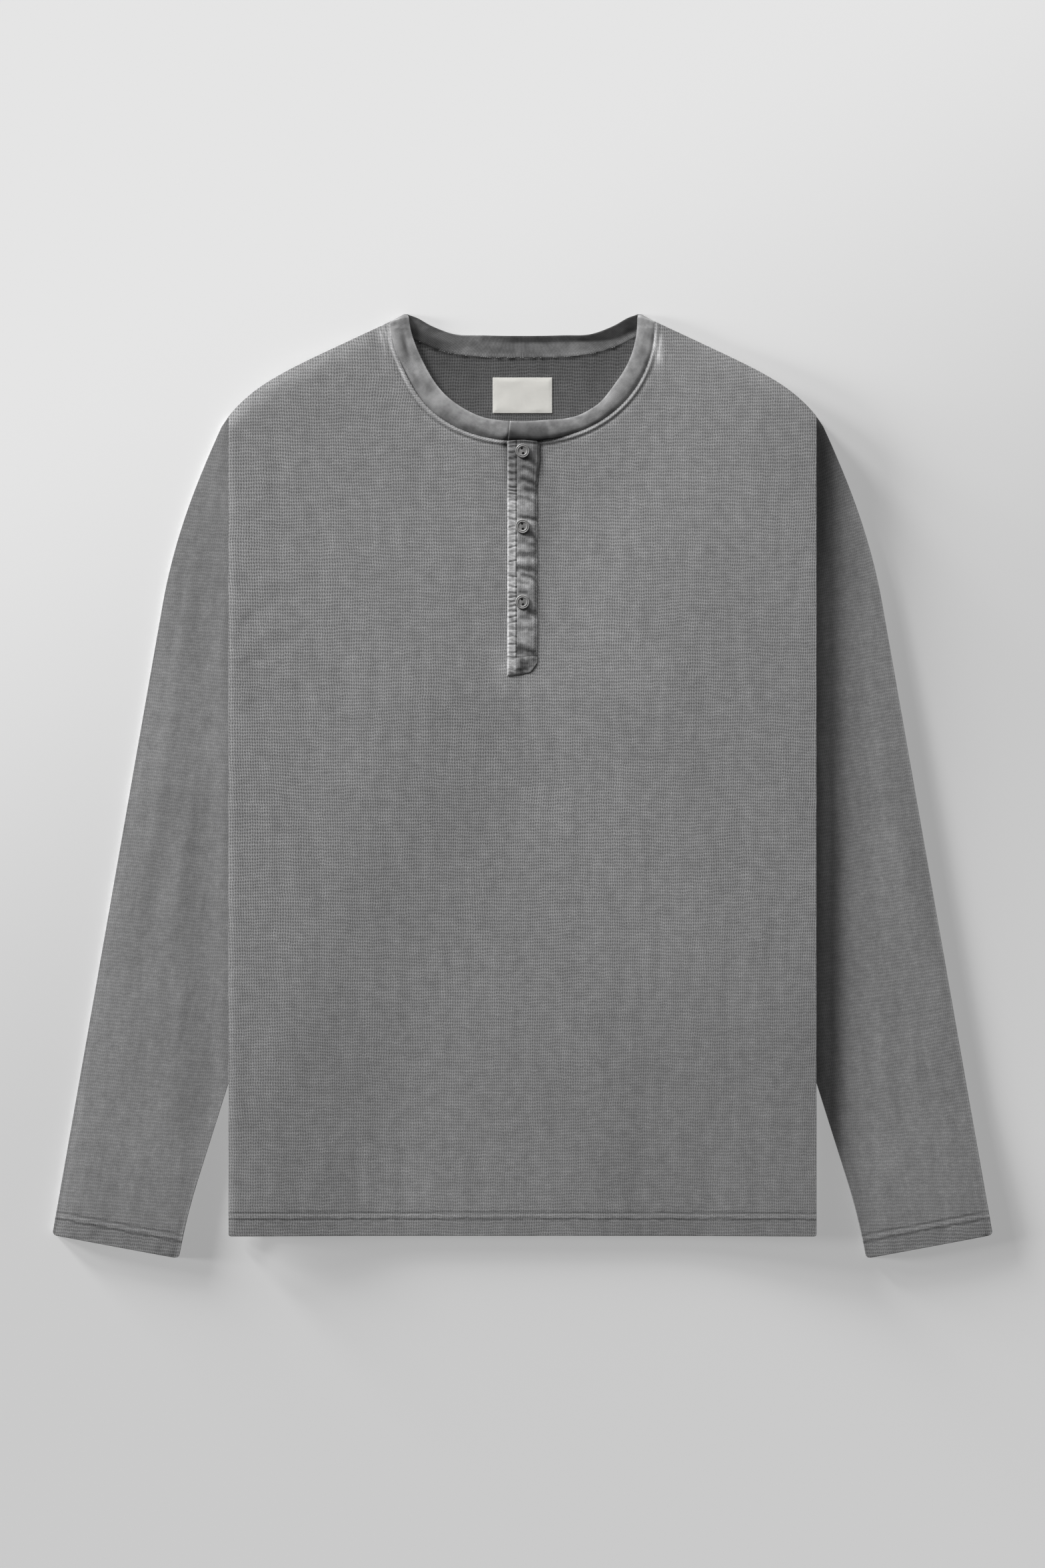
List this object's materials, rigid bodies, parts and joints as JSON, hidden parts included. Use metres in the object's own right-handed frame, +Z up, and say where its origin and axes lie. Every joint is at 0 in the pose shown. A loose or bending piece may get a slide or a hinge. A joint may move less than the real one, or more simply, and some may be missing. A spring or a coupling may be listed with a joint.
{
  "type": "henley shirt",
  "caption": "Long-sleeved waffle-knit henley laid flat, sleeves folded behind, with a ribbed neckband, a buttoned placket and a blank neck label.",
  "frame": {"origin": "on the ground, under the middle of the shirt's outline", "axes": "+Z up out of the front of the shirt, +Y towards the collar, +X towards the viewer's right sleeve"},
  "size_m": [0.7256, 0.7275, 0.0125],
  "materials": {
    "waffle_cloth": "washed grey waffle knit, dry and matt",
    "rib_cloth": "washed grey fine rib, mottled",
    "button_plastic": "smoky grey, polished, with a raised rim",
    "label_tape": "off-white woven tape, blank"
  },
  "bodies": {
    "root": {"front": "waffle_cloth", "back": "waffle_cloth", "sleeve_left": "waffle_cloth", "sleeve_right": "waffle_cloth", "neckband": "rib_cloth", "placket_over": "waffle_cloth", "placket_under": "waffle_cloth", "button_top": "button_plastic", "button_middle": "button_plastic", "button_bottom": "button_plastic", "label": "label_tape"}
  },
  "joints": []
}
